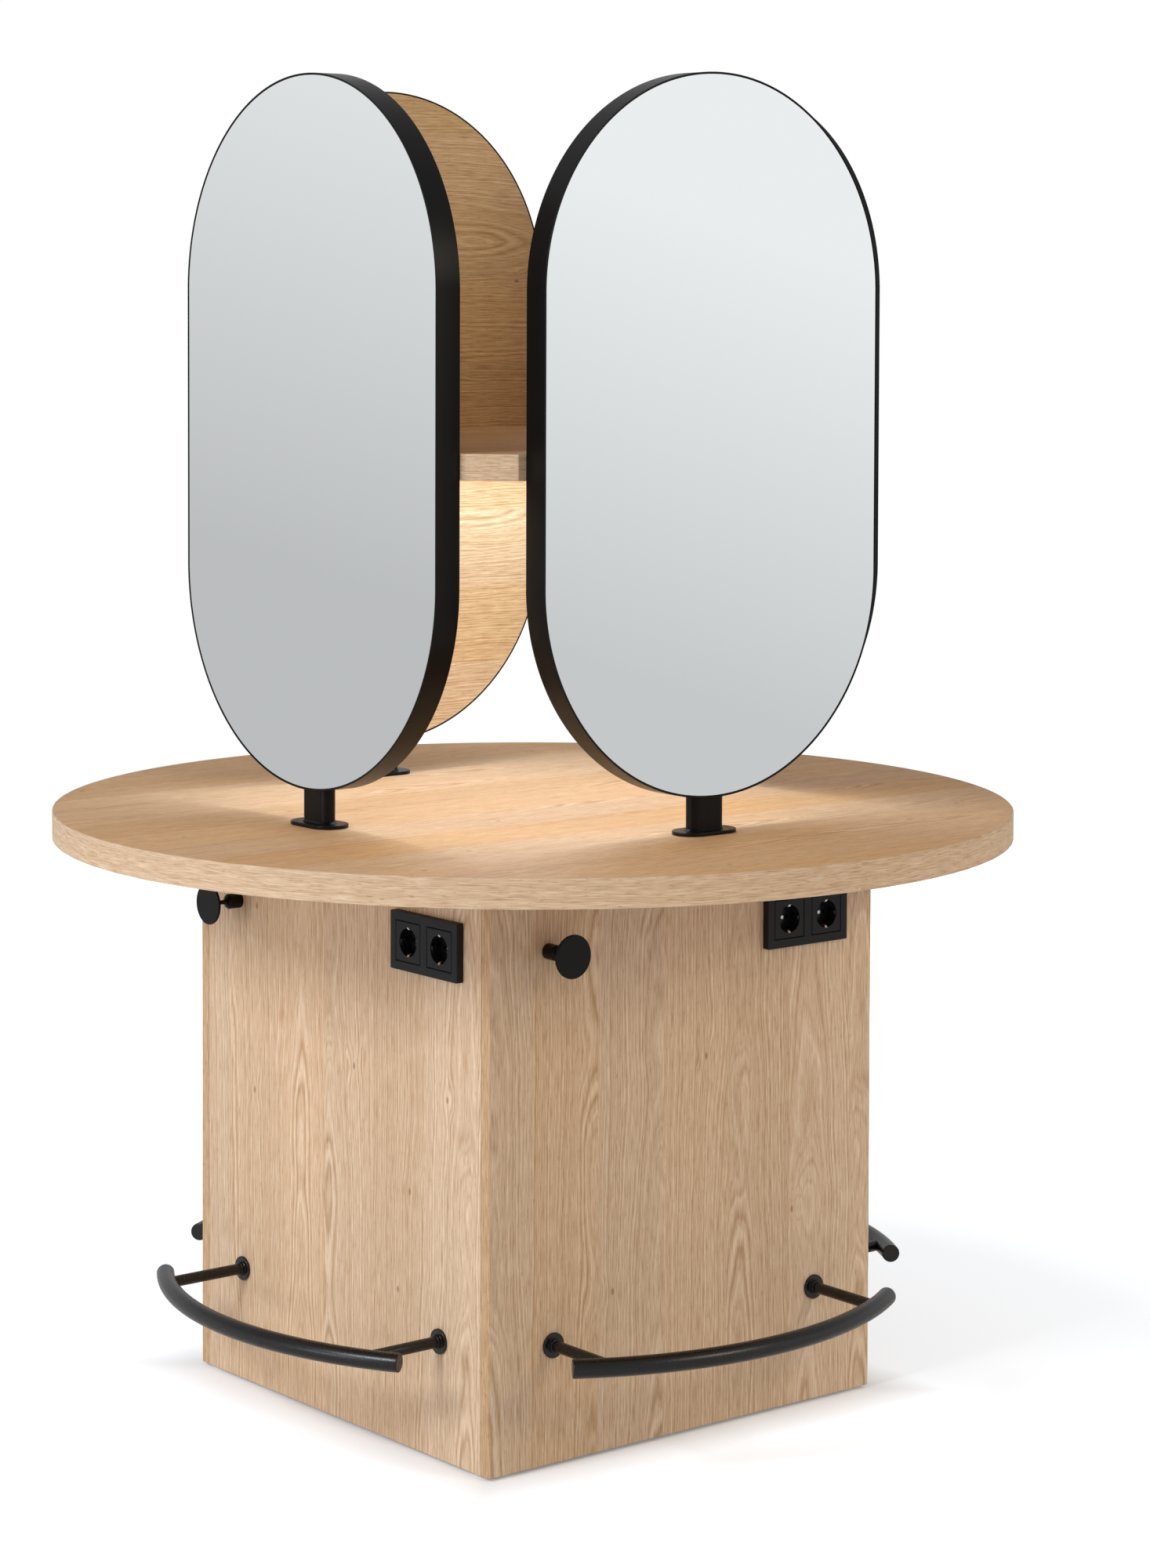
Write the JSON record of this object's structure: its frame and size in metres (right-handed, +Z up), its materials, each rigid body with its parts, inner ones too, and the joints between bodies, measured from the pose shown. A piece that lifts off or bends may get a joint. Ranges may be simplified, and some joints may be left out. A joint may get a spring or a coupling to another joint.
{
  "type": "salon styling station",
  "caption": "Round oak table on a square cabinet with pill-shaped mirrors around a lit shelf; each side has a hook, a double power socket and a bowed foot rail.",
  "frame": {"origin": "on the floor, under the middle of the table", "axes": "+Z up; -Y towards the front side, +X to its right"},
  "size_m": [1.4, 1.4, 1.9043],
  "materials": {
    "oak_laminate": "oak-figured laminate, satin",
    "black_coated_steel": "fine-texture black powder coat",
    "mirror_glass": "silvered, polished",
    "black_plastic": "matte anthracite black",
    "grey_plastic": "matte",
    "white_plastic": "matte",
    "zinc_steel": "zinc plated",
    "aluminium_profile": "natural anodised",
    "opal_diffuser": "opal, lit warm white",
    "cable_sheath": "matte"
  },
  "bodies": {
    "base": {"base_panel_front": "oak_laminate", "mirror_frame_front": "black_coated_steel", "mirror_board_front": "oak_laminate", "mirror_glass_front": "mirror_glass", "mirror_stand_front": "black_coated_steel", "socket_frame_front": "black_plastic", "socket_insert_front_1": "black_plastic", "socket_insert_front_2": "black_plastic", "hook_front": "black_coated_steel", "foot_rail_front": "black_coated_steel", "base_panel_left": "oak_laminate", "mirror_frame_left": "black_coated_steel", "mirror_board_left": "oak_laminate", "mirror_glass_left": "mirror_glass", "mirror_stand_left": "black_coated_steel", "socket_frame_left": "black_plastic", "socket_insert_left_1": "black_plastic", "socket_insert_left_2": "black_plastic", "hook_left": "black_coated_steel", "foot_rail_left": "black_coated_steel", "base_panel_back": "oak_laminate", "mirror_frame_back": "black_coated_steel", "mirror_board_back": "oak_laminate", "mirror_glass_back": "mirror_glass", "mirror_stand_back": "black_coated_steel", "socket_frame_back": "black_plastic", "socket_insert_back_1": "black_plastic", "socket_insert_back_2": "black_plastic", "hook_back": "black_coated_steel", "foot_rail_back": "black_coated_steel", "base_panel_right": "oak_laminate", "mirror_frame_right": "black_coated_steel", "mirror_board_right": "oak_laminate", "mirror_glass_right": "mirror_glass", "mirror_stand_right": "black_coated_steel", "socket_frame_right": "black_plastic", "socket_insert_right_1": "black_plastic", "socket_insert_right_2": "black_plastic", "hook_right": "black_coated_steel", "foot_rail_right": "black_coated_steel", "base_bottom_board": "oak_laminate", "base_top_board": "oak_laminate", "table_top": "oak_laminate", "table_edge_band": "oak_laminate", "shelf_board": "oak_laminate", "led_profile": "aluminium_profile", "led_diffuser": "opal_diffuser", "led_cable": "cable_sheath", "led_driver": "white_plastic", "junction_box": "white_plastic", "wiring_harness": "cable_sheath", "cable_grommet": "black_plastic"},
    "foot_front_left": {"foot_pad_front_left": "grey_plastic", "foot_stem_front_left": "zinc_steel"},
    "foot_front_right": {"foot_pad_front_right": "grey_plastic", "foot_stem_front_right": "zinc_steel"},
    "foot_back_left": {"foot_pad_back_left": "grey_plastic", "foot_stem_back_left": "zinc_steel"},
    "foot_back_right": {"foot_pad_back_right": "grey_plastic", "foot_stem_back_right": "zinc_steel"}
  },
  "joints": [
    {"name": "foot_front_left_turn", "type": "hinge", "parent": "base", "child": "foot_front_left", "pos_m": [-0.318, -0.318, 0.02], "axis": [0, 0, -1], "range_deg": [0, 1260]},
    {"name": "foot_front_right_turn", "type": "hinge", "parent": "base", "child": "foot_front_right", "pos_m": [0.318, -0.318, 0.02], "axis": [0, 0, -1], "range_deg": [0, 1260]},
    {"name": "foot_back_left_turn", "type": "hinge", "parent": "base", "child": "foot_back_left", "pos_m": [-0.318, 0.318, 0.02], "axis": [0, 0, -1], "range_deg": [0, 1260]},
    {"name": "foot_back_right_turn", "type": "hinge", "parent": "base", "child": "foot_back_right", "pos_m": [0.318, 0.318, 0.02], "axis": [0, 0, -1], "range_deg": [0, 1260]}
  ]
}
